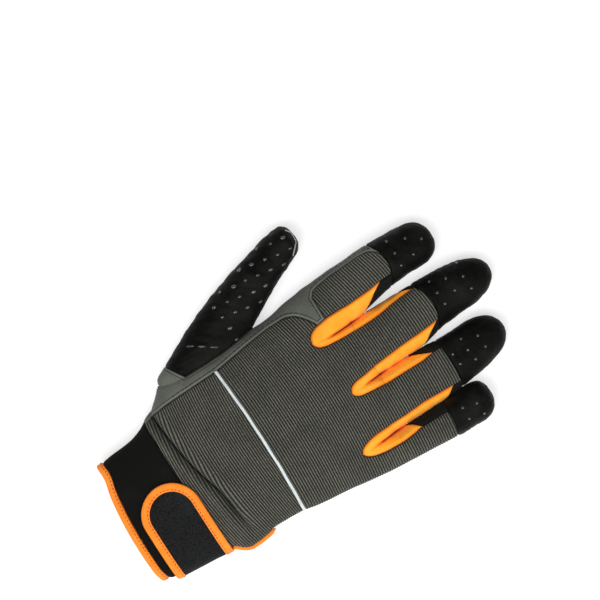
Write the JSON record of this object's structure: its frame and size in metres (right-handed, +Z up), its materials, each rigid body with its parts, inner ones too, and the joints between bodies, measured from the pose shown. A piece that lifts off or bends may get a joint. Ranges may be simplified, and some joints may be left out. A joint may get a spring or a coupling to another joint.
{
  "type": "winter work glove",
  "caption": "Right-hand winter work glove lying palm down, with a ribbed back, contrast finger gussets, grip pads and a strap-closed cuff.",
  "frame": {"origin": "middle of the glove's outline seen from above, on the surface that the palm lies on", "axes": "+Y from the cuff to the fingertips, +X from the thumb to the little finger, +Z up from the palm to the back"},
  "size_m": [0.1626, 0.2646, 0.0327],
  "materials": {
    "ribbed_fabric": "matte, ribbed across",
    "suede": "matte brushed suede",
    "orange_fabric": "matte knitted fabric",
    "black_fabric": "matte knitted fabric",
    "grip_fabric": "matte brushed fabric with small glossy rubber dots",
    "grip_rubber": "matte base with dense glossy dots",
    "neoprene": "matte knitted face over foam",
    "binding_tape": "matte woven tape, stitched",
    "strap_fabric": "matte short loop fabric",
    "piping_cord": "silvery reflective film",
    "tab_plastic": "satin moulded plastic",
    "disc_plastic": "satin moulded plastic"
  },
  "bodies": {
    "root": {"back_upper": "ribbed_fabric", "back_lower": "ribbed_fabric", "index_back": "ribbed_fabric", "side_panel": "suede", "palm_panel": "suede", "cuff": "neoprene", "orange_gusset_1": "orange_fabric", "orange_gusset_2": "orange_fabric", "orange_gusset_3": "orange_fabric", "black_gusset_1": "black_fabric", "black_gusset_2": "black_fabric", "black_gusset_3": "black_fabric", "hood_index": "grip_fabric", "hood_middle": "grip_fabric", "hood_ring": "grip_fabric", "hood_little": "grip_fabric", "thumb_back": "grip_fabric", "thumb_palm": "suede", "thumb_inner": "black_fabric", "piping": "piping_cord", "cuff_binding": "binding_tape", "strap_binding": "binding_tape", "strap": "strap_fabric", "flap_binding": "binding_tape", "thenar_pad": "grip_rubber", "hypothenar_pad": "grip_rubber", "knuckle_pad": "grip_rubber", "index_pad": "grip_rubber", "pull_tab": "suede", "tab_ring": "tab_plastic", "tab_disc": "disc_plastic"}
  },
  "joints": []
}
